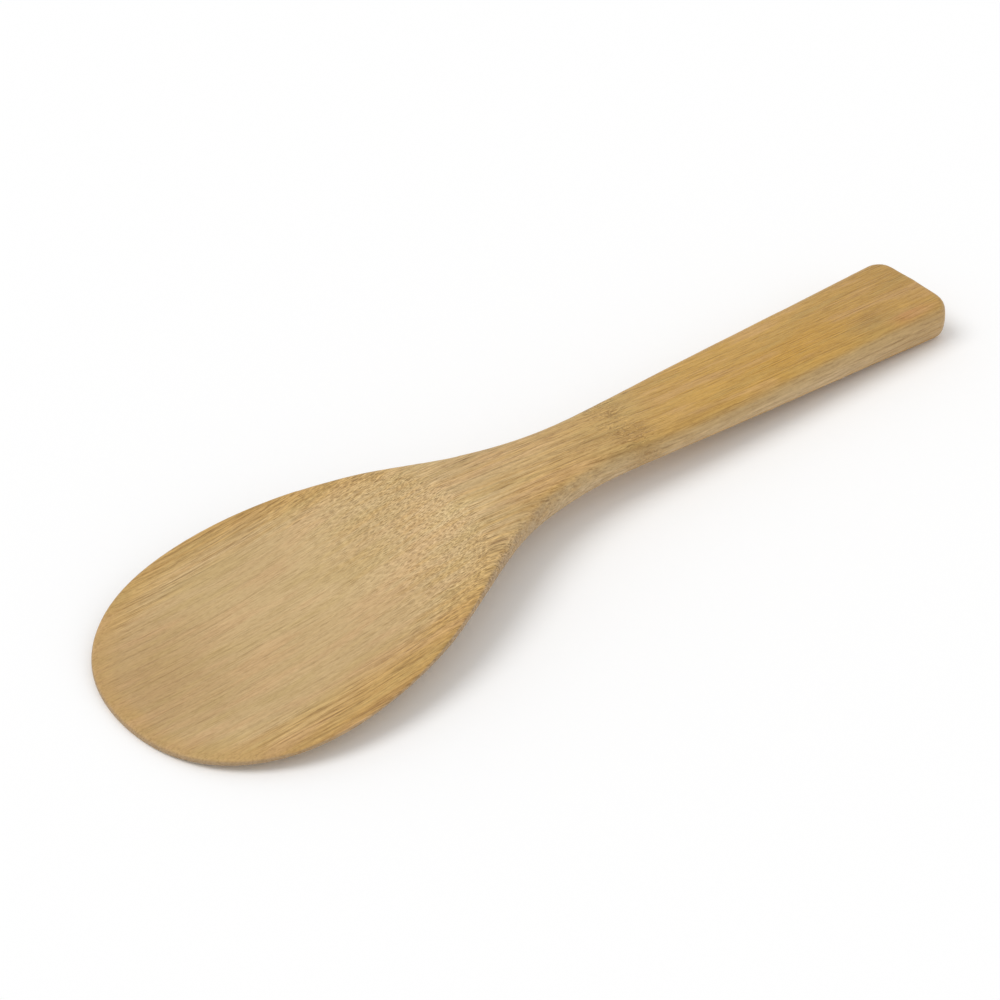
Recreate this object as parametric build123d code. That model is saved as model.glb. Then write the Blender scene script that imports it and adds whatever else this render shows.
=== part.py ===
from build123d import *
import os
from math import sqrt

# A rice paddle carved from one piece of bamboo
# The blade points to -X and the handle to +X. The paddle lies on its underside, with +Z up.
# Stations run along it from the tip of the blade, and heights stand on the table it lies on.
# All sizes are in millimetres.

# Plan outline
overall_length = 228.0
blade_width = 69.8
blade_widest_from_tip = 37.0
neck_width = 18.7
neck_from_tip = 121.0
handle_end_width = 25.1
handle_corner_radius = 4.2

# Softening of the edges: the long ones, the rim under the blade, and the rim of the dish
handle_edge_radius = 2.3
underside_rim_radius = 0.6
dish_rim_bevel = 0.45

# The long edges take at most this share of the side wall, which is lowest at the shoulders
edge_of_wall_share = 0.465

# Upper face of the arched strip that the paddle is cut from, on the centre line
crest_from_tip = 87.5
crest_height = 15.5
neck_top_drop = 1.3
handle_top_height = 12.5
end_top_height = 10.5
upper_crown_radius = 150.0

# Lower face of that strip, which the handle keeps
crest_thickness = 6.8
bend_past_crest = 13.5
bend_underside_drop = 1.5
handle_underside_height = 5.25
strip_drop_before_blade = 14.0

# Both faces run straight from here to the end of the handle
straight_past_neck = 29.0

# Dish in the upper face of the blade: a shallow bowl from the tip up to the crest
dish_radius = 540.0
tip_thickness = 1.75

# Relief under the blade: it thins the rim and fades out below the neck
belly_from_tip = 5.0
relief_peak_before_crest = 9.5
relief_peak_under_strip = 1.1
relief_end_past_crest = 10.5
relief_runout_drop = 2.0
relief_side_rise = 3.07

# One overrun serves every cutting shape
overrun = 14.0

# Stations and heights that follow from these sizes
crest_underside_height = crest_height - crest_thickness
bend_underside_height = crest_underside_height - bend_underside_drop
straight_from_tip = neck_from_tip + straight_past_neck
relief_peak_from_tip = crest_from_tip - relief_peak_before_crest

# A face counts as upright below this share of its normal, and as level above it
upright_limit_share = 0.5

# Outline from the tip to the widest place: shares of that length, and of the half width
tip_curve_shares = [(0.14, 0.566), (0.47, 0.879)]

# Outline from there to the neck: shares of that length, and of the narrowing done by then
shoulder_curve_shares = [(0.26, 0.135), (0.50, 0.471), (0.74, 0.847)]

# Outline from the neck to the end: shares of that length, and of the widening done by then
handle_curve_shares = [(0.15, 0.215), (0.50, 0.628)]

# Relief from the belly to its peak: shares of that length, and of the height gained by then
relief_curve_shares = [(0.33, 0.20), (0.70, 0.73)]


def station(from_tip):
    """Place along X of what lies this far from the tip."""
    return from_tip - overall_length / 2


def between(start, end, share):
    """Value that lies this share of the way from start to end."""
    return start + share * (end - start)


def outline_side():
    """Points of one side of the outline, in order from the tip to the end of the handle."""
    half_blade = blade_width / 2
    half_neck = neck_width / 2
    half_end = handle_end_width / 2
    points = [(blade_widest_from_tip * along, half_blade * across) for along, across in tip_curve_shares]
    points.append((blade_widest_from_tip, half_blade))
    for along, done in shoulder_curve_shares:
        from_tip = between(blade_widest_from_tip, neck_from_tip, along)
        points.append((from_tip, between(half_blade, half_neck, done)))
    points.append((neck_from_tip, half_neck))
    for along, done in handle_curve_shares:
        from_tip = between(neck_from_tip, overall_length, along)
        points.append((from_tip, between(half_neck, half_end, done)))
    points.append((overall_length, half_end))
    return [(station(from_tip), across) for from_tip, across in points]


def outline_block():
    """Upright block with the plan outline, and the corners at the handle's end rounded."""
    far_side = outline_side()
    near_side = [(along, -across) for along, across in far_side]
    flare = Vector(*near_side[-1]) - Vector(*near_side[-2])
    inward = Vector(-flare.X, flare.Y)
    curve = Spline(*reversed(far_side), (station(0), 0), *near_side, tangents=[inward, flare])
    end_edge = Line(curve @ 1, curve @ 0)
    block_foot = -strip_drop_before_blade - overrun
    block_height = crest_height + overrun - block_foot
    block = extrude(Plane.XY.offset(block_foot) * make_face([curve, end_edge]), block_height)
    return fillet(block.edges().filter_by(Axis.Z), handle_corner_radius)


def profile(curved, straight_end):
    """Side view of a face on the middle plane: a curve through points, then a straight handle."""
    points = [Vector(station(from_tip), 0, height) for from_tip, height in curved]
    end = Vector(station(straight_end[0]), 0, straight_end[1])
    past_end = end + (end - points[-1]).normalized() * overrun
    curve = Spline(*points, tangents=[points[1] - points[0], end - points[-1]])
    return curve, Line(points[-1], past_end)


def sag(radius, half_width):
    """How far an arc of this radius falls away this far from its middle."""
    return radius - sqrt(radius ** 2 - half_width ** 2)


def swept_bar(path, body_side, crown_radius, depth, hollow=False):
    """Bar below (-1) or above (+1) a profile, with a crowned or hollow face along it."""
    half_width = blade_width / 2 + overrun
    edge = sag(crown_radius, half_width)
    if hollow:
        edge = -edge
    start = Plane(origin=path @ 0, x_dir=(0, body_side, 0), z_dir=path % 0)
    face_curve = ThreePointArc((-half_width, edge), (0, 0), (half_width, edge))
    body = Polyline((half_width, edge), (half_width, depth), (-half_width, depth), (-half_width, edge))
    return sweep(start * make_face([face_curve, body]), path)


def strip_above():
    """Everything below the strip's crowned upper face."""
    curved = [
        (-overrun, crest_height),
        (crest_from_tip, crest_height),
        (neck_from_tip, crest_height - neck_top_drop),
        (straight_from_tip, handle_top_height),
    ]
    path = Wire(profile(curved, (overall_length, end_top_height)))
    return swept_bar(path, -1, upper_crown_radius, crest_height + strip_drop_before_blade + overrun)


def strip_below():
    """Everything above the strip's lower face, which is flat across."""
    curved = [
        (-overrun, -strip_drop_before_blade),
        (crest_from_tip, crest_underside_height),
        (crest_from_tip + bend_past_crest, bend_underside_height),
        (straight_from_tip, handle_underside_height),
    ]
    curve, straight = profile(curved, (overall_length, 0))
    top = crest_height + overrun
    over_end = (straight @ 1).X
    over_tip = (curve @ 0).X
    around = Polyline(straight @ 1, (over_end, 0, top), (over_tip, 0, top), curve @ 0)
    side_view = make_face([curve, straight, around])
    return extrude(side_view, blade_width / 2 + overrun, both=True)


def dish_ball():
    """Ball that cuts the dish: it passes through the tip and the crest."""
    run = crest_from_tip
    rise = crest_height - tip_thickness
    chord = sqrt(run ** 2 + rise ** 2)
    to_centre = sqrt(dish_radius ** 2 - (chord / 2) ** 2)
    centre_from_tip = run / 2 - to_centre * rise / chord
    centre_height = tip_thickness + rise / 2 + to_centre * run / chord
    return Pos(station(centre_from_tip), 0, centre_height) * Sphere(dish_radius)


def relief_cutter():
    """Everything below the blade's underside, which is crowned across."""
    peak_height = crest_underside_height - relief_peak_under_strip
    end_from_tip = crest_from_tip + relief_end_past_crest
    to_peak = [
        (between(belly_from_tip, relief_peak_from_tip, along), peak_height * gained)
        for along, gained in relief_curve_shares
    ]
    curved = [
        (belly_from_tip, 0),
        *to_peak,
        (relief_peak_from_tip, peak_height),
        (end_from_tip, bend_underside_height),
        (end_from_tip + overrun, bend_underside_height - relief_runout_drop),
    ]
    points = [Vector(station(from_tip), 0, height) for from_tip, height in curved]
    before_tip = Vector(station(-overrun), 0, 0)
    belly = Line(before_tip, points[0])
    arch = Spline(*points, tangents=[points[0] - before_tip, points[-1] - points[-2]])
    half_blade = blade_width / 2
    crown_radius = (half_blade ** 2 + relief_side_rise ** 2) / (2 * relief_side_rise)
    depth = strip_drop_before_blade + overrun
    return swept_bar(Wire([belly, arch]), -1, crown_radius, depth, hollow=True)


def open_edges(faces):
    """Edges that belong to exactly one of these faces, which bound them together."""
    edges = [edge for face in faces for edge in face.edges()]
    return [edge for edge in edges if edges.count(edge) == 1]


def half_width_at(from_tip):
    """Half of the paddle's width this far from the tip, on straight lines between the points."""
    points = outline_side()
    for (before, wide), (after, narrow) in zip(points, points[1:]):
        if before <= station(from_tip) < after:
            return between(wide, narrow, (station(from_tip) - before) / (after - before))


def shoulder_wall():
    """Least height of the strip's side, with its width taken where the relief peaks."""
    half_width = half_width_at(relief_peak_from_tip)
    return crest_height - sag(upper_crown_radius, half_width) - crest_underside_height


def rounded_blank():
    """Strip cut to the plan outline, with its long edges rounded as on the handle."""
    blank = (outline_block() & strip_above() & strip_below()).solid()
    walls = [face for face in blank.faces() if abs(face.normal_at().Z) < upright_limit_share]
    radius = min(handle_edge_radius, shoulder_wall() * edge_of_wall_share)
    return blank.fillet(radius, open_edges(walls))


def rice_paddle():
    """The whole paddle: the dish and the relief leave a thin blade, whose rim is then softened."""
    carved = (rounded_blank() - dish_ball() - relief_cutter()).solid()
    relief = [
        face for face in carved.faces()
        if face.normal_at().Z < -upright_limit_share and face.center().X < station(relief_peak_from_tip)
    ]
    softened = carved.fillet(underside_rim_radius, open_edges(relief))
    dish = [face for face in softened.faces() if face.geom_type == GeomType.SPHERE]
    return softened.chamfer(dish_rim_bevel, None, open_edges(dish))


paddle = rice_paddle()
os.makedirs("parts", exist_ok=True)
export_step(paddle, "parts/paddle.step")
print("paddle", round(paddle.volume), "cubic millimetres,", paddle.bounding_box())
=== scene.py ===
import bmesh
import bpy
import math
import numpy as np
from mathutils import Matrix, Vector, noise
from mathutils.bvhtree import BVHTree


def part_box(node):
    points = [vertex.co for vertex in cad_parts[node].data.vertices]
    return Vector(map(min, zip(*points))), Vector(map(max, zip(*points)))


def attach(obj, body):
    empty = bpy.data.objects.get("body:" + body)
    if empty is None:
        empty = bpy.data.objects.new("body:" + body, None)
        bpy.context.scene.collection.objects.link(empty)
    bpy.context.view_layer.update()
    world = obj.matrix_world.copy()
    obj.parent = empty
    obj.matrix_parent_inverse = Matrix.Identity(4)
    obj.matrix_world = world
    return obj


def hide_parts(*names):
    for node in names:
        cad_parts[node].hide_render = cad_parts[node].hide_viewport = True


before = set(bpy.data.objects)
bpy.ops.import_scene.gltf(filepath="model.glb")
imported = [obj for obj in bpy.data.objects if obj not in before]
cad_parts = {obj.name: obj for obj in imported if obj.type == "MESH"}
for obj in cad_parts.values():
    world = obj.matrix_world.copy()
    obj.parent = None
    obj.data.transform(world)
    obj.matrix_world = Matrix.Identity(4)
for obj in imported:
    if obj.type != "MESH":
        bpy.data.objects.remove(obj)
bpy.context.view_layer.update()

# Lengths are written in millimetres, and multiplied by MM where Blender needs metres
MM = 0.001

# Camera: the place it looks at, its heading from +Y towards +X, and its height above the horizon
CAMERA_TARGET = (-16.22, -2.23, 11.0)
CAMERA_DISTANCE = 705.1
CAMERA_HEADING = 39.434
CAMERA_ELEVATION = 38.354
CAMERA_ROLL = -0.535
CAMERA_LENS = 117.2
CAMERA_CLIP = (10.0, 6000.0)

# Light: an even sky, and two broad suns with their angles in degrees
SKY_STRENGTH = 0.66
KEY_SUN = {"strength": 1.1, "heading": -60.0, "elevation": 58.0, "softness": 35.0}
FILL_SUN = {"strength": 0.25, "heading": 150.0, "elevation": 40.0, "softness": 60.0}

# Floor: pale and matt, a hair below the table height so that nothing flickers
FLOOR_SIDE = 3000.0
FLOOR_SQUARES = 8
FLOOR_DROP = 0.02
FLOOR_COLOR = (0.99, 0.99, 0.99)

# Outline of the mesh: its samples, each found by halving from a place beside the paddle, how far they keep
# inside the two ends, and the length between its points
OUTLINE_SAMPLES = 1400
HALVINGS = 22
BESIDE_MARGIN = 1.0
END_MARGIN = 0.002
OUTLINE_STEP = 0.7

# Rows of the mesh: their points on the upper side, over the rim and on the underside
TOP_ROWS = 44
RIM_ROWS = 14
BOTTOM_ROWS = 30

# The rows start on the middle line, set back from both ends and drawn out along it near them
SPINE_SETBACK = 3.0
SPINE_PULL_SHARE = 0.5
SPINE_REACH = 20.0

# Shoulder of a row, where it leaves the upper side for the rim: its inset from the outline grows with the
# rim's height, which is read close to the outline, from the least inset up to the most or a share of the row
RIM_PROBE_SHARE = 0.02
RIM_HEIGHT_SHARE = 0.5
RIM_INSET_LEAST = 0.6
RIM_INSET_MOST = 2.6
RIM_ROW_SHARE = 0.35

# Rounds of easing for each millimetre of the rim's height, besides a first one
RIM_EASING = 0.4

# Crest between dish and neck: the stations it is eased between, the least upward part of the normal that
# counts as its upper side, the rounds, and how far each round moves a point towards its neighbours' middle
CREST_EASED = (66.0, 98.0)
CREST_NORMAL = 0.5
CREST_ROUNDS = 8
CREST_PULL_SHARE = 0.5

# Unevenness that hand sanding leaves: the size of its waves, and how deep they go at most
WAVE_LENGTH = 14.0
WAVE_DEPTH = 0.06

# Rays start this far above or below the paddle, and points this close together are one
RAY_START = 10.0
WELD_DISTANCE = 0.001

# How far the fibres drift sideways for each millimetre along, at either end
DRIFT_AT_TIP = 0.11
DRIFT_AT_BUTT = 0.02

# Height of one fibre by its station from the tip, because the strip was bent before it was carved, and the
# top of the range that this curve is drawn in
FIBRE_RISE = [
    (0, 1.75), (30, 4.3), (45, 6.1), (55, 7.1), (65, 7.65), (75, 7.6), (87.5, 6.9), (95, 6.5), (121, 5.5),
    (150, 3.8), (228, 1.7),
]
FIBRE_RISE_TOP = 16.0

# Slow wander of the fibres, with a shift that makes the one through the strip differ from the one sideways
WAVER = 1.4
WAVER_SIZE = (50.0, 100 / 7, 25 / 3)
OTHER_WAVER_SHIFT = (7.3, 2.1, 5.7)

# Growth mark, where the culm had its knot, and how much further the fibres stray there
KNOT_FROM_TIP = 133.5
KNOT_HALF_LENGTH = 8.0
STRAY = 3.2
STRAY_SIZE = (10 / 3, 20 / 9, 20 / 9)
NOISE_MIDDLE = 0.5

# Fibre bundles and coarser strands: their spacing, how unevenly they lie, and shares of the spacing over
# which the dark core fades in, and the pale sheath around it, from outside and then from inside
BUNDLE = {"spacing": 0.48, "unevenness": 0.85, "core": (0.34, 0.12), "sheath": ((0.60, 0.44), (0.24, 0.38))}
STRAND = {"spacing": 0.85, "unevenness": 0.90, "core": (0.32, 0.16), "sheath": ((0.60, 0.46), (0.28, 0.42))}

# Noises drawn out along the fibres: their length, and their size across and through the strip
STRAND_BREAKS = {"size": (5.0, 0.9, 1.2), "detail": 1.0}
FINE = {"size": (6.0, 0.36, 0.6), "detail": 3.0, "roughness": 0.75}
GRAIN = {"size": (22.0, 0.44, 0.8), "detail": 2.0, "roughness": 0.6}
STREAK = {"size": (45.0, 1.1, 2.0), "detail": 3.0, "roughness": 0.6}
BLUSHES = {"size": (22.0, 3.5, 6.0), "detail": 2.0}
DASH = {"size": (1.3, 0.36, 0.5), "detail": 1.0}

# Noises that don't follow the fibres: their size along, across and up
PATCH = {"size": (40.0, 16.0, 16.0), "detail": 1.0}
GRIT = {"size": (0.7, 0.45, 0.45), "detail": 1.0}

# Ranges of those noises over which a mark fades in, and for lines first the dark and then the pale ones
BREAKS_RANGE = (0.42, 0.56)
AMBER_RANGE = (0.42, 0.72)
GRIT_RANGE = (0.42, 0.68)
FINE_RANGES = ((0.53, 0.61), (0.46, 0.38))
DASH_RANGES = ((0.52, 0.66), (0.48, 0.34))
GRAIN_RANGES = ((0.53, 0.60), (0.47, 0.40))

# Stretches of the paddle: at each end two stations from the tip, the outer one first. A stretch with a
# single end runs on to the tip or to the end of the handle
TINTED_RIM = [(-30.0, 30.0), (98.0, 62.0)]
STREAKED_RIM = [(4.0, 26.0), (108.0, 78.0)]
CALM_BLADE = [(72.0, 52.0)]
SANDED_TIP = [(34.0, 16.0)]
DOTTED_CREST = [(46.0, 82.0), (97.0, 88.0)]
NECK = [(84.0, 98.0), (152.0, 126.0)]
HANDLE = [(120.0, 150.0)]
GOLDEN_HANDLE = [(80.0, 162.0)]
TAN_WALL = [(190.0, 225.0)]
THIN_WALL = [(118.0, 74.0)]

# Plain arc between the dots and the lines of the neck
ARC_FROM_TIP = 92.0
ARC_HALF_LENGTH = 6.0

# Distances from the rim over which its zones fade in, and how far the calm zone keeps out of its streaks
TINT_FROM_RIM = (10.0, 1.0)
STREAKS_FROM_RIM = (14.0, 6.0)
SANDED_FROM_RIM = (4.6, 1.0)
CALM_BESIDE_RIM_SHARES = (0.8, 0.1)

# Upward part of the normal over which the upper side and the side walls fade in
UPPER_SIDE = (0.2, 0.7)
SIDE_WALL = (0.95, 0.25)

# How strong each mark is: its share everywhere, and what each zone adds to it
AMBER_SHARES = (0.38, {"calm": -0.30})
FINE_SHARES = (0.46, {"calm": -0.30, "handle": -0.12, "dotted": -0.16, "neck": 0.14})
DASH_SHARES = (0.18, {"dotted": 0.16, "handle": -0.06})
GRAIN_SHARES = (0.16, {"rim": 0.30, "neck": 0.14, "calm": -0.10})
STRAND_SHARES = (0.26, {"rim": 0.08, "calm": -0.04, "dotted": -0.20, "neck": 0.16})
CORE_SHARES = (0.0, {"dotted": 0.19, "open_knot": 0.36})
CORE_STREAK_SHARE = 0.35
SHEATH_SHARE = 0.85
GRIT_SHARE = 0.35

# What the sanded tip, the plain arc and the side walls leave of the marks that they weaken
PAST_TIP_SHARES = (1.0, {"sanded_tip": -0.8})
PAST_ARC_SHARES = (1.0, {"arc": -0.5})
PAST_WALL_SHARES = (1.0, {"upright": -0.7})

# How high each texture stands, in shares of the relief's depth: everywhere, and what each zone adds to it
RELIEF_DEPTH = 0.09
CORE_HEIGHTS = (-0.2, {"open_ends": -0.8})
FINE_HEIGHTS = (-0.8, {"calm": 0.4})
GRAIN_HEIGHTS = (-0.6, {"rim": -1.0})
STRAND_HEIGHT = -1.8
DASH_HEIGHT = -2.0
GRIT_HEIGHT = -1.0

# Sheen: roughness everywhere, what the fine lines add to it, and how much the bare wood reflects
ROUGHNESS = 0.42
FINE_ROUGHNESS = 0.16
SPECULAR_LEVEL = 0.35

# Colours of the bamboo
PALE = (0.566, 0.400, 0.194)
PALEST = (0.640, 0.468, 0.238)
TAN = (0.440, 0.275, 0.115)
GOLDEN = (0.536, 0.312, 0.070)
GOLD = (0.520, 0.280, 0.042)
AMBER = (0.520, 0.298, 0.074)
RUSSET = (0.500, 0.250, 0.090)
BLUSH = (0.600, 0.365, 0.180)
OLIVE = (0.465, 0.330, 0.115)
UMBER = (0.380, 0.215, 0.060)
WALL = (0.560, 0.415, 0.240)
WALL_TOP = (0.510, 0.356, 0.170)
RIM_WALL = (0.372, 0.252, 0.142)
SPECK = (0.160, 0.085, 0.030)

# What a dark or a pale mark does to the colour under it
DARKER = (0.560, 0.470, 0.340)
PALER = (1.250, 1.270, 1.300)

# Tints on the upper side: from the tip, across, half length, half width, colour and share
TINTS = [
    (10.0, 5.0, 28.0, 28.0, TAN, 0.82),
    (60.0, -4.0, 32.0, 22.0, PALEST, 0.38),
    (80.0, 0.0, 22.0, 18.0, PALEST, 0.60),
    (45.0, -29.0, 36.0, 11.0, AMBER, 0.60),
    (110.0, -9.0, 22.0, 9.0, AMBER, 0.58),
    (185.0, -3.0, 36.0, 9.0, GOLD, 0.84),
    (228.0, 3.0, 50.0, 28.0, UMBER, 0.55),
    (KNOT_FROM_TIP, -6.0, 9.0, 6.5, UMBER, 0.60),
    (139.0, 4.0, 8.0, 8.0, OLIVE, 0.45),
    (151.0, -8.0, 13.0, 2.2, UMBER, 0.40),
    (207.0, -6.5, 11.0, 5.5, UMBER, 0.75),
    (216.0, -9.5, 10.0, 3.2, RUSSET, 0.85),
    (86.0, -6.0, 0.9, 0.6, SPECK, 0.70),
    (143.0, 8.0, 1.8, 0.6, SPECK, 0.75),
]
RIM_TINT_SHARE = 0.72

# Washes of colour: the range of a noise over which they fade in, their share and their colour
PATCH_WASH = ((0.40, 0.70), 0.25, TAN)
BLUSH_WASH = ((0.50, 0.68), 0.35, BLUSH)
OLIVE_WASH = ((0.50, 0.32), 0.30, OLIVE)

# Side walls: how far their colour replaces the upper side's, the height of the handle's wall in its
# middle at the neck, how much lower that lies at the end, and the half height over which its colours meet
WALL_SHARE = 0.8
NECK_FROM_TIP = 121.0
WALL_MIDDLE = 10.3
WALL_MIDDLE_DROP = 5.0
WALL_BLEND = 2.0
KNOT_WALL_SHARE = 0.45
TAN_WALL_SHARE = 0.5


# Shape of the paddle, read from the CAD node

def surface_of(obj):
    """Search tree over an object's faces, in the frame's own metres."""
    points = [obj.matrix_world @ vertex.co for vertex in obj.data.vertices]
    return BVHTree.FromPolygons(points, [tuple(face.vertices) for face in obj.data.polygons])


low, high = (Vector(corner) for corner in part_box("paddle"))
tip_x = low.x
butt_x = high.x
solid = surface_of(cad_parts["paddle"])
UP = Vector((0.0, 0.0, 1.0))


def top_at(x, y):
    """Height of the upper side there, or None beside the paddle."""
    hit = solid.ray_cast(Vector((x, y, high.z + RAY_START * MM)), -UP)[0]
    return None if hit is None else hit.z


def bottom_at(x, y):
    """Height of the lower side there, or None beside the paddle."""
    hit = solid.ray_cast(Vector((x, y, low.z - RAY_START * MM)), UP)[0]
    return None if hit is None else hit.z


def on_top(place):
    """Point of the upper side over this place."""
    return Vector((place.x, place.y, top_at(place.x, place.y)))


def on_bottom(place):
    """Point of the lower side under this place."""
    return Vector((place.x, place.y, bottom_at(place.x, place.y)))


def half_width(x):
    """Half of the paddle's width at this place along it, found by halving."""
    inside, outside = 0.0, high.y + BESIDE_MARGIN * MM
    for _ in range(HALVINGS):
        middle = (inside + outside) / 2
        if top_at(x, middle) is None:
            outside = middle
        else:
            inside = middle
    return inside


def outline():
    """Points of one side of the outline, evenly spaced from the tip's middle to the end's middle."""
    turns = np.linspace(0.0, math.pi, OUTLINE_SAMPLES)
    margin = END_MARGIN * MM
    along = tip_x + margin + (butt_x - tip_x - 2 * margin) * (1.0 - np.cos(turns)) / 2.0
    across = np.array([half_width(x) for x in along])
    along = np.concatenate([[tip_x], along, [butt_x]])
    across = np.concatenate([[0.0], across, [0.0]])
    run = np.concatenate([[0.0], np.cumsum(np.hypot(np.diff(along), np.diff(across)))])
    count = int(round(run[-1] / (OUTLINE_STEP * MM)))
    even = np.linspace(0.0, run[-1], count + 1)
    return even, np.interp(even, run, along), np.interp(even, run, across)


# Mesh of the paddle

def spine(run, along):
    """Place on the middle line that each outline point's row starts from."""
    back = run[-1] - run
    reach = SPINE_REACH * MM
    from_tip = (SPINE_SETBACK * MM + SPINE_PULL_SHARE * run) * np.exp(-run / reach)
    from_end = (SPINE_SETBACK * MM + SPINE_PULL_SHARE * back) * np.exp(-back / reach)
    return along + from_tip - from_end


def eased(row, rounds):
    """The same row after its corners are eased this many times. Its ends stay."""
    for _ in range(rounds):
        between = [(before + 2 * this + after) / 4 for before, this, after in zip(row, row[1:], row[2:])]
        row = [row[0], *between, row[-1]]
    return row


def rim_inset(outer, reach):
    """How far inside the outline a row's shoulder lies."""
    edge = outer - reach.normalized() * (RIM_PROBE_SHARE * reach.length)
    rim_height = top_at(edge.x, edge.y) - bottom_at(edge.x, edge.y)
    wanted = RIM_HEIGHT_SHARE * rim_height + RIM_INSET_LEAST * MM
    return min(wanted, RIM_INSET_MOST * MM, RIM_ROW_SHARE * reach.length)


def over_rim(shoulder, outward, inset, height):
    """Points from the shoulder out over the rim and back under it, each laid on the solid."""
    top = top_at(shoulder.x, shoulder.y)
    length = 2 * inset + height
    points = []
    for step in range(RIM_ROWS + 1):
        path = length * step / RIM_ROWS
        out = min(path, inset, length - path)
        fall = min(max(path - inset, 0.0), height)
        place = shoulder + outward * out
        guess = Vector((place.x, place.y, top - fall))
        points.append(solid.find_nearest(guess)[0])
    return points


def row_of(outer, inner):
    """Points of one row: from the middle line over the rim to the middle line of the underside."""
    reach = outer - inner
    outward = reach.normalized()
    inset = rim_inset(outer, reach)
    shoulder = outer - outward * inset
    height = top_at(shoulder.x, shoulder.y) - bottom_at(shoulder.x, shoulder.y)
    upper = [on_top(inner.lerp(shoulder, step / TOP_ROWS)) for step in range(TOP_ROWS)]
    lower = [on_bottom(shoulder.lerp(inner, step / BOTTOM_ROWS)) for step in range(1, BOTTOM_ROWS + 1)]
    row = [*upper, *over_rim(shoulder, outward, inset, height), *lower]
    return eased(row, round(1 + RIM_EASING * height / MM))


def half_rows(run, along, across):
    """Rows of one half of the paddle, whose outer ones and whose ends lie on its middle plane."""
    rows = []
    for x, y, start in zip(along, across, spine(run, along)):
        rows.append(row_of(Vector((x, y, 0.0)), Vector((start, 0.0, 0.0))))
    seam = [*rows[0], *rows[-1], *(row[0] for row in rows), *(row[-1] for row in rows)]
    for point in seam:
        point.y = 0.0
    return rows


def hand_finish(mesh):
    """Eases the crest between dish and neck, and leaves the whole surface slightly uneven."""
    start, end = (tip_x + from_tip * MM for from_tip in CREST_EASED)
    mesh.normal_update()
    crest = [point for point in mesh.verts if start < point.co.x < end and point.normal.z > CREST_NORMAL]
    for _ in range(CREST_ROUNDS):
        bmesh.ops.smooth_vert(mesh, verts=crest, factor=CREST_PULL_SHARE, use_axis_z=True)
    mesh.normal_update()
    for point in mesh.verts:
        wave = noise.noise(point.co / (WAVE_LENGTH * MM))
        point.co -= point.normal * WAVE_DEPTH * MM * (1 + wave) / 2


def paddle_mesh():
    """Closed mesh of the paddle. Its points carry their distance in millimetres from their row's outline."""
    run, along, across = outline()
    rows = half_rows(run, along, across)
    mesh = bmesh.new()
    from_rim = mesh.verts.layers.float.new("from_rim")
    for side in (1, -1):
        grid = [[mesh.verts.new((p.x, side * p.y, p.z)) for p in row] for row in rows]
        for row, x, y in zip(grid, along, across):
            for point in row:
                point[from_rim] = math.hypot(point.co.x - x, abs(point.co.y) - y) / MM
        for this, after in zip(grid, grid[1:]):
            for a, b, c, d in zip(this, after, after[1:], this[1:]):
                mesh.faces.new((a, b, c, d) if side < 0 else (d, c, b, a))
    bmesh.ops.remove_doubles(mesh, verts=mesh.verts, dist=WELD_DISTANCE * MM)
    bmesh.ops.recalc_face_normals(mesh, faces=mesh.faces)
    hand_finish(mesh)
    data = bpy.data.meshes.new("bamboo_paddle")
    mesh.to_mesh(data)
    mesh.free()
    for face in data.polygons:
        face.use_smooth = True
    print("paddle mesh", len(data.vertices), "points", len(data.polygons), "faces")
    return data


# Material of the paddle

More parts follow.
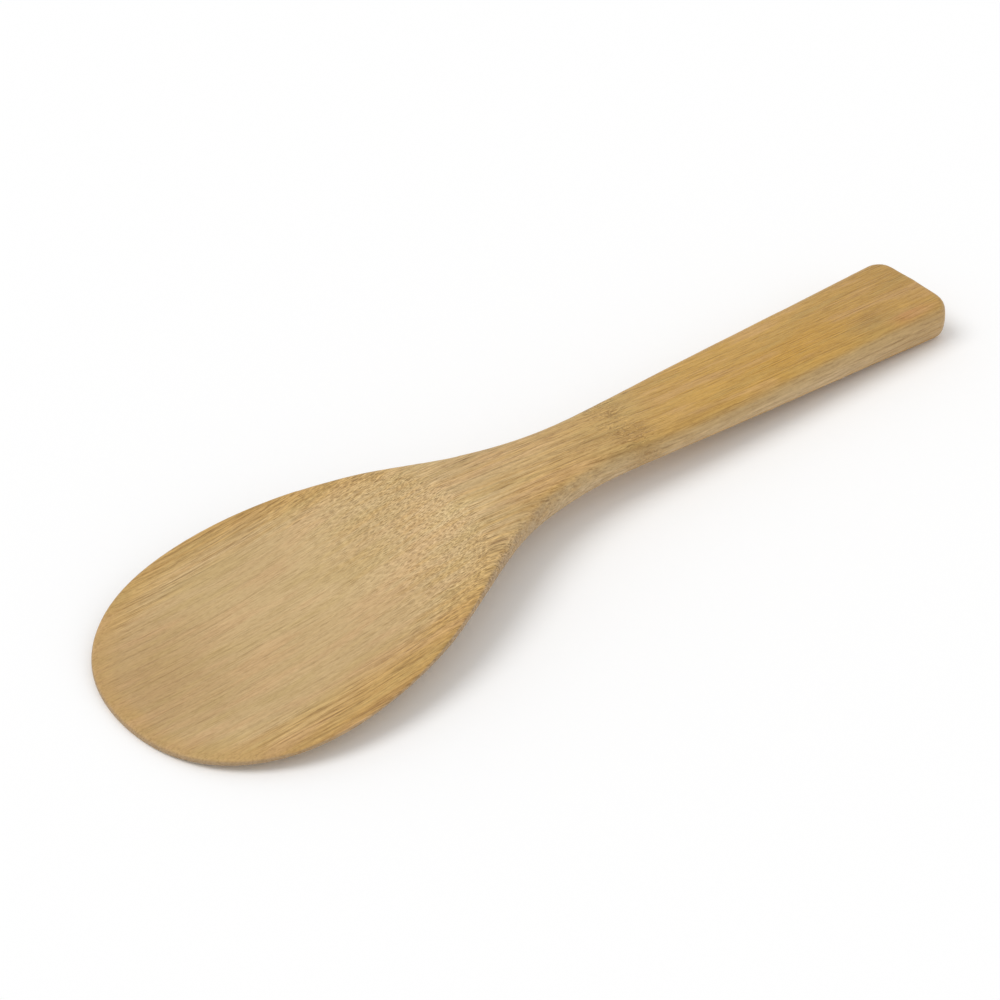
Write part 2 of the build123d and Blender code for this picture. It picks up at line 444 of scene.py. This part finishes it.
class Graph:
    """Node graph of one material. Each call adds a node and gives the output that comes next."""

    def __init__(self, name):
        self.material = bpy.data.materials.new(name)
        self.material.use_nodes = True
        self.nodes = self.material.node_tree.nodes
        self.links = self.material.node_tree.links
        self.shader = self.nodes["Principled BSDF"]

    def feed(self, socket, value):
        """Link an output to the socket, or set the socket to a plain value."""
        if isinstance(value, bpy.types.NodeSocket):
            self.links.new(value, socket)
        else:
            socket.default_value = value

    def node(self, kind, output, inputs, **settings):
        """Add a node with these settings, feed its inputs, and give the output asked for."""
        made = self.nodes.new(kind)
        for name, value in settings.items():
            setattr(made, name, value)
        for name, value in inputs.items():
            self.feed(made.inputs[name], value)
        return made.outputs[output]

    def math(self, operation, a, b=0.0):
        return self.node("ShaderNodeMath", 0, {0: a, 1: b}, operation=operation)

    def plus(self, a, b):
        return self.math("ADD", a, b)

    def times(self, a, b):
        return self.math("MULTIPLY", a, b)

    def plus_vector(self, a, b):
        return self.node("ShaderNodeVectorMath", 0, {0: a, 1: b}, operation="ADD")

    def join(self, x, y, z=0.0):
        return self.node("ShaderNodeCombineXYZ", 0, {"X": x, "Y": y, "Z": z})

    def split(self, vector):
        made = self.nodes.new("ShaderNodeSeparateXYZ")
        self.feed(made.inputs[0], vector)
        return made.outputs

    def scaled(self, place, size):
        """Vector from two or three outputs, each in units of its own size."""
        return self.join(*(self.times(part, 1 / length) for part, length in zip(place, size)))

    def fade(self, value, start, end):
        """0 at start and 1 at end, with an even S curve between. Start may be the larger one."""
        inputs = {"Value": value, "From Min": start, "From Max": end}
        return self.node("ShaderNodeMapRange", 0, inputs, interpolation_type="SMOOTHSTEP")

    def window(self, value, middle, half):
        """1 at the middle, falling to 0 this far to each side."""
        away = self.math("ABSOLUTE", self.math("SUBTRACT", value, middle))
        return self.fade(away, half, 0.0)

    def noise(self, vector, detail=2.0, roughness=0.5):
        inputs = {"Vector": vector, "Scale": 1.0, "Detail": detail, "Roughness": roughness}
        return self.node("ShaderNodeTexNoise", "Fac", inputs)

    def curve(self, value, points, width, height):
        """Smooth curve through points, in a range of this width and height from zero."""
        made = self.nodes.new("ShaderNodeFloatCurve")
        self.feed(made.inputs["Value"], self.times(value, 1.0 / width))
        line = made.mapping.curves[0]
        places = [(x / width, y / height) for x, y in points]
        line.points[0].location = places[0]
        line.points[1].location = places[-1]
        for place in places[1:-1]:
            line.points.new(*place)
        made.mapping.update()
        return self.times(made.outputs[0], height)

    def mix(self, share, a, b, blend="MIX"):
        """Mix of two colours. The node has other sockets for numbers and vectors before theirs."""
        made = self.nodes.new("ShaderNodeMix")
        made.data_type = "RGBA"
        made.blend_type = blend
        made.clamp_factor = True
        self.feed(made.inputs["Factor"], share)
        for socket, value in ((made.inputs[6], a), (made.inputs[7], b)):
            self.feed(socket, value if isinstance(value, bpy.types.NodeSocket) else (*value, 1.0))
        return made.outputs[2]

    def darker(self, colour, share):
        return self.mix(share, colour, DARKER, "MULTIPLY")

    def paler(self, colour, share):
        return self.mix(share, colour, PALER, "MULTIPLY")

    def lines(self, colour, texture, ranges, share):
        """The colour with dark lines over one range of the texture and pale ones over the other."""
        dark, pale = ranges
        colour = self.darker(colour, self.times(self.fade(texture, *dark), share))
        return self.paler(colour, self.times(self.fade(texture, *pale), share))

    def wash(self, colour, texture, span, share, tint):
        """The colour with a tint that fades in over this span of the texture."""
        return self.mix(self.times(self.fade(texture, *span), share), colour, tint)


class Bamboo(Graph):
    """Bamboo as a solid: fibre bundles run through it, and each surface shows how it cuts them."""

    def __init__(self):
        super().__init__("bamboo")

        # Place in millimetres: from the tip, across from the middle, and up
        place = self.split(self.node("ShaderNodeTexCoord", "Object", {}))
        self.length = (butt_x - tip_x) / MM
        self.along = self.plus(self.times(place["X"], 1 / MM), -tip_x / MM)
        self.across = self.times(place["Y"], 1 / MM)
        self.up = self.times(place["Z"], 1 / MM)

        # Zones, and two made of them: the growth mark, weaker on the side walls, and all open ends of fibres
        self.zones = self.find_zones()
        self.zones["open_knot"] = self.times(self.zones["knot"], self.share(*PAST_WALL_SHARES))
        self.zones["open_ends"] = self.math("MAXIMUM", self.zones["dotted"], self.zones["open_knot"])

        # Textures: along the fibres, which lie sideways and through the strip, or free of them
        self.sideways, self.through = self.lay_fibres()
        with_fibres = (self.along, self.sideways, self.through)
        freely = (self.along, self.across, self.up)
        self.fine = self.texture(with_fibres, **FINE)
        self.grain = self.texture(with_fibres, **GRAIN)
        self.streak = self.texture(with_fibres, **STREAK)
        self.blush = self.texture(with_fibres, **BLUSHES)
        self.dash = self.texture(with_fibres, **DASH)
        self.patch = self.texture(freely, **PATCH)
        self.grit = self.texture(freely, **GRIT)
        self.core, self.sheath = self.bundles(**BUNDLE)
        breaks = self.fade(self.texture(with_fibres, **STRAND_BREAKS), *BREAKS_RANGE)
        self.strand, self.strand_side = (self.times(part, breaks) for part in self.bundles(**STRAND))

        # Shares that both the colour and the relief use
        self.past_tip = self.share(*PAST_TIP_SHARES)
        self.dash_share = self.share(*DASH_SHARES)
        self.strand_share = self.times(self.share(*STRAND_SHARES), self.past_tip)

        self.feed(self.shader.inputs["Base Color"], self.with_marks(self.ground_colour()))
        bump = {"Height": self.relief(), "Strength": 1.0, "Distance": RELIEF_DEPTH * MM}
        self.feed(self.shader.inputs["Normal"], self.node("ShaderNodeBump", "Normal", bump))
        roughness = self.plus(self.times(self.fine, FINE_ROUGHNESS), ROUGHNESS)
        self.feed(self.shader.inputs["Roughness"], roughness)
        self.shader.inputs["Specular IOR Level"].default_value = SPECULAR_LEVEL

    def stretch(self, ends):
        """1 along a stretch of the paddle and 0 past it, fading at each of the ends given."""
        inside = self.fade(self.along, *ends[0])
        for end in ends[1:]:
            inside = self.times(inside, self.fade(self.along, *end))
        return inside

    def share(self, everywhere, extras):
        """A share that holds everywhere, with what each zone adds to it."""
        total = everywhere
        for zone, extra in extras.items():
            total = self.plus(self.times(self.zones[zone], extra), total)
        return total

    def texture(self, place, size, detail, roughness=0.5):
        """Noise with features of this size in millimetres."""
        return self.noise(self.scaled(place, size), detail, roughness)

    def find_zones(self):
        """Zones of the surface by name, each 1 inside and 0 outside."""
        level = self.split(self.node("ShaderNodeNewGeometry", "Normal", {}))["Z"]
        from_rim = self.node("ShaderNodeAttribute", "Fac", {}, attribute_name="from_rim")
        upper = self.fade(level, *UPPER_SIDE)
        rim = self.times(self.fade(from_rim, *STREAKS_FROM_RIM), self.stretch(STREAKED_RIM))
        return {
            "upper": upper,
            "upright": self.fade(self.math("ABSOLUTE", level), *SIDE_WALL),
            "rim": rim,
            "rim_tint": self.times(self.fade(from_rim, *TINT_FROM_RIM), self.stretch(TINTED_RIM)),
            "calm": self.times(self.stretch(CALM_BLADE), self.fade(rim, *CALM_BESIDE_RIM_SHARES)),
            "sanded_tip": self.times(self.fade(from_rim, *SANDED_FROM_RIM), self.stretch(SANDED_TIP)),
            "dotted": self.stretch(DOTTED_CREST),
            "arc": self.window(self.along, ARC_FROM_TIP, ARC_HALF_LENGTH),
            "neck": self.times(self.stretch(NECK), upper),
            "knot": self.window(self.along, KNOT_FROM_TIP, KNOT_HALF_LENGTH),
            "handle": self.stretch(HANDLE),
        }

    def lay_fibres(self):
        """Place across the fibres, sideways and through the strip. They drift, bend, waver and stray."""
        bend = (DRIFT_AT_BUTT - DRIFT_AT_TIP) / (2 * self.length)
        drift = self.times(self.along, self.plus(self.times(self.along, bend), DRIFT_AT_TIP))
        rise = self.curve(self.along, FIBRE_RISE, self.length, FIBRE_RISE_TOP)
        place = (self.along, self.across, self.up)
        slow = self.scaled(place, WAVER_SIZE)
        waver = self.noise(slow, detail=1.0)
        other_waver = self.noise(self.plus_vector(slow, OTHER_WAVER_SHIFT), detail=1.0)
        uneven = self.plus(self.texture(place, STRAY_SIZE, detail=2.0), -NOISE_MIDDLE)
        stray = self.times(uneven, self.times(self.zones["knot"], STRAY))
        aside = self.plus(self.times(self.plus(waver, -NOISE_MIDDLE), WAVER), stray)
        other_aside = self.plus(self.times(self.plus(other_waver, -NOISE_MIDDLE), WAVER), stray)
        sideways = self.plus(self.plus(self.across, drift), aside)
        through = self.plus(self.math("SUBTRACT", self.up, rise), other_aside)
        return sideways, through

    def bundles(self, spacing, unevenness, core, sheath):
        """Bundles that run along the fibres: their dark cores, and the pale sheaths around those."""
        section = self.scaled((self.sideways, self.through), (spacing, spacing))
        cells = {"Vector": section, "Scale": 1.0, "Randomness": unevenness}
        away = self.node("ShaderNodeTexVoronoi", "Distance", cells, voronoi_dimensions="2D")
        outer, inner = sheath
        return self.fade(away, *core), self.times(self.fade(away, *outer), self.fade(away, *inner))

    def tint_share(self, from_tip, aside, half_long, half_wide, share):
        """Share of one tint on the upper side, which fades out from its middle to an oval."""
        reach_along = self.times(self.plus(self.along, -from_tip), 1 / half_long)
        reach_across = self.times(self.plus(self.across, -aside), 1 / half_wide)
        reach = self.join(reach_along, reach_across)
        away = self.node("ShaderNodeVectorMath", "Value", {0: reach}, operation="LENGTH")
        return self.times(self.times(self.fade(away, 1.0, 0.0), self.zones["upper"]), share)

    def wall_colour(self):
        """Colour of the side walls, with the growth mark, the handle's end and the blade's thin rim."""
        slope = WALL_MIDDLE_DROP / (self.length - NECK_FROM_TIP)
        lowered = self.times(self.plus(self.along, -NECK_FROM_TIP), slope)
        over_middle = self.plus(self.plus(self.up, lowered), -WALL_MIDDLE)
        wall = self.mix(self.fade(over_middle, -WALL_BLEND, WALL_BLEND), WALL, WALL_TOP)
        wall = self.mix(self.times(self.zones["knot"], KNOT_WALL_SHARE), wall, UMBER)
        wall = self.mix(self.times(self.stretch(TAN_WALL), TAN_WALL_SHARE), wall, TAN)
        return self.mix(self.stretch(THIN_WALL), wall, RIM_WALL)

    def ground_colour(self):
        """Colour between the fibres, with its tints and washes, and with the side walls' own over it."""
        ground = self.mix(self.stretch(GOLDEN_HANDLE), PALE, GOLDEN)
        for *place, tint, share in TINTS:
            ground = self.mix(self.tint_share(*place, share), ground, tint)
        rim_tint = self.times(self.zones["rim_tint"], self.times(self.zones["upper"], RIM_TINT_SHARE))
        ground = self.mix(rim_tint, ground, AMBER)
        ground = self.wash(ground, self.patch, *PATCH_WASH)
        ground = self.wash(ground, self.blush, *BLUSH_WASH)
        ground = self.wash(ground, self.blush, *OLIVE_WASH)
        return self.mix(self.times(self.zones["upright"], WALL_SHARE), ground, self.wall_colour())

    def with_marks(self, colour):
        """The colour with amber streaks, lines, dashes, strands and grit, and with sheaths and cores."""
        plain = self.times(self.past_tip, self.share(*PAST_ARC_SHARES))
        colour = self.wash(colour, self.streak, AMBER_RANGE, self.share(*AMBER_SHARES), AMBER)
        colour = self.lines(colour, self.fine, FINE_RANGES, self.times(self.share(*FINE_SHARES), plain))
        colour = self.lines(colour, self.dash, DASH_RANGES, self.dash_share)
        colour = self.lines(colour, self.grain, GRAIN_RANGES, self.times(self.share(*GRAIN_SHARES), plain))
        colour = self.darker(colour, self.times(self.strand, self.strand_share))
        colour = self.paler(colour, self.times(self.strand_side, self.strand_share))
        grit = self.times(self.fade(self.grit, *GRIT_RANGE), GRIT_SHARE)
        colour = self.darker(colour, self.times(self.zones["sanded_tip"], grit))
        dotted_sheath = self.times(self.sheath, self.zones["dotted"])
        colour = self.paler(colour, self.times(dotted_sheath, self.times(self.past_tip, SHEATH_SHARE)))
        cores = self.plus(self.share(*CORE_SHARES), self.times(self.streak, CORE_STREAK_SHARE))
        return self.darker(colour, self.times(self.core, self.times(cores, self.past_tip)))

    def relief(self):
        """Height of the surface in shares of the relief's depth, with the marks cut into it."""
        parts = [
            self.times(self.fine, self.share(*FINE_HEIGHTS)),
            self.times(self.grain, self.share(*GRAIN_HEIGHTS)),
            self.times(self.times(self.strand, self.strand_share), STRAND_HEIGHT),
            self.times(self.times(self.dash, self.dash_share), DASH_HEIGHT),
            self.times(self.times(self.grit, self.zones["sanded_tip"]), GRIT_HEIGHT),
        ]
        height = self.times(self.core, self.share(*CORE_HEIGHTS))
        for part in parts:
            height = self.plus(height, part)
        return height


# Studio

def placed(name, data):
    """New object in the scene."""
    obj = bpy.data.objects.new(name, data)
    bpy.context.scene.collection.objects.link(obj)
    return obj


def direction(heading, elevation):
    """Direction with this heading from +Y towards +X and this height above the horizon, in degrees."""
    turn, rise = math.radians(heading), math.radians(elevation)
    return Vector((math.sin(turn) * math.cos(rise), math.cos(turn) * math.cos(rise), math.sin(rise)))


def studio_floor():
    """Pale floor under the paddle."""
    mesh = bmesh.new()
    half_side = FLOOR_SIDE * MM / 2
    bmesh.ops.create_grid(mesh, x_segments=FLOOR_SQUARES, y_segments=FLOOR_SQUARES, size=half_side)
    floor_data = bpy.data.meshes.new("studio_floor")
    mesh.to_mesh(floor_data)
    mesh.free()
    material = bpy.data.materials.new("studio_floor")
    material.use_nodes = True
    shader = material.node_tree.nodes["Principled BSDF"]
    shader.inputs["Base Color"].default_value = (*FLOOR_COLOR, 1.0)
    shader.inputs["Roughness"].default_value = 1.0
    shader.inputs["Specular IOR Level"].default_value = 0.0
    floor_data.materials.append(material)
    floor = placed("studio_floor", floor_data)
    floor.location.z = low.z - FLOOR_DROP * MM


def sun(name, strength, heading, elevation, softness):
    """Broad sun that shines from this heading and height. Softness is the width of its disc in degrees."""
    lamp = bpy.data.lights.new(name, "SUN")
    lamp.energy = strength
    lamp.angle = math.radians(softness)
    obj = placed(name, lamp)
    obj.rotation_mode = "QUATERNION"
    obj.rotation_quaternion = direction(heading, elevation).to_track_quat("Z", "Y")


def sky():
    """Even white sky: it lights gently, and shows pure white to the camera and in reflections."""
    world = bpy.data.worlds.new("studio_sky")
    world.use_nodes = True
    nodes, links = world.node_tree.nodes, world.node_tree.links
    background = nodes["Background"]
    path = nodes.new("ShaderNodeLightPath")
    glossy = nodes.new("ShaderNodeMath")
    glossy.operation = "MAXIMUM"
    links.new(path.outputs["Is Camera Ray"], glossy.inputs[0])
    links.new(path.outputs["Is Glossy Ray"], glossy.inputs[1])
    through = nodes.new("ShaderNodeMath")
    through.operation = "MAXIMUM"
    links.new(glossy.outputs[0], through.inputs[0])
    links.new(path.outputs["Is Transmission Ray"], through.inputs[1])
    strength = nodes.new("ShaderNodeMapRange")
    strength.inputs["To Min"].default_value = SKY_STRENGTH
    strength.inputs["To Max"].default_value = 1.0
    links.new(through.outputs[0], strength.inputs["Value"])
    links.new(strength.outputs["Result"], background.inputs["Strength"])
    background.inputs["Color"].default_value = (1.0, 1.0, 1.0, 1.0)
    bpy.context.scene.world = world


def photo_camera():
    """Camera at the photograph's viewing angle."""
    forward = direction(CAMERA_HEADING, -CAMERA_ELEVATION)
    lens = bpy.data.cameras.new("photo_camera")
    lens.lens = CAMERA_LENS
    lens.clip_start, lens.clip_end = (length * MM for length in CAMERA_CLIP)
    camera = placed("photo_camera", lens)
    camera.location = (Vector(CAMERA_TARGET) - forward * CAMERA_DISTANCE) * MM
    camera.rotation_mode = "QUATERNION"
    level = forward.to_track_quat("-Z", "Y").to_matrix()
    roll = Matrix.Rotation(math.radians(CAMERA_ROLL), 3, "Z")
    camera.rotation_quaternion = (level @ roll).to_quaternion()
    bpy.context.scene.camera = camera


paddle = placed("bamboo_paddle", paddle_mesh())
paddle.data.materials.append(Bamboo().material)
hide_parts("paddle")
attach(paddle, "root")

studio_floor()
sun("key_sun", **KEY_SUN)
sun("fill_sun", **FILL_SUN)
sky()
photo_camera()
bpy.context.scene.view_settings.view_transform = "Standard"
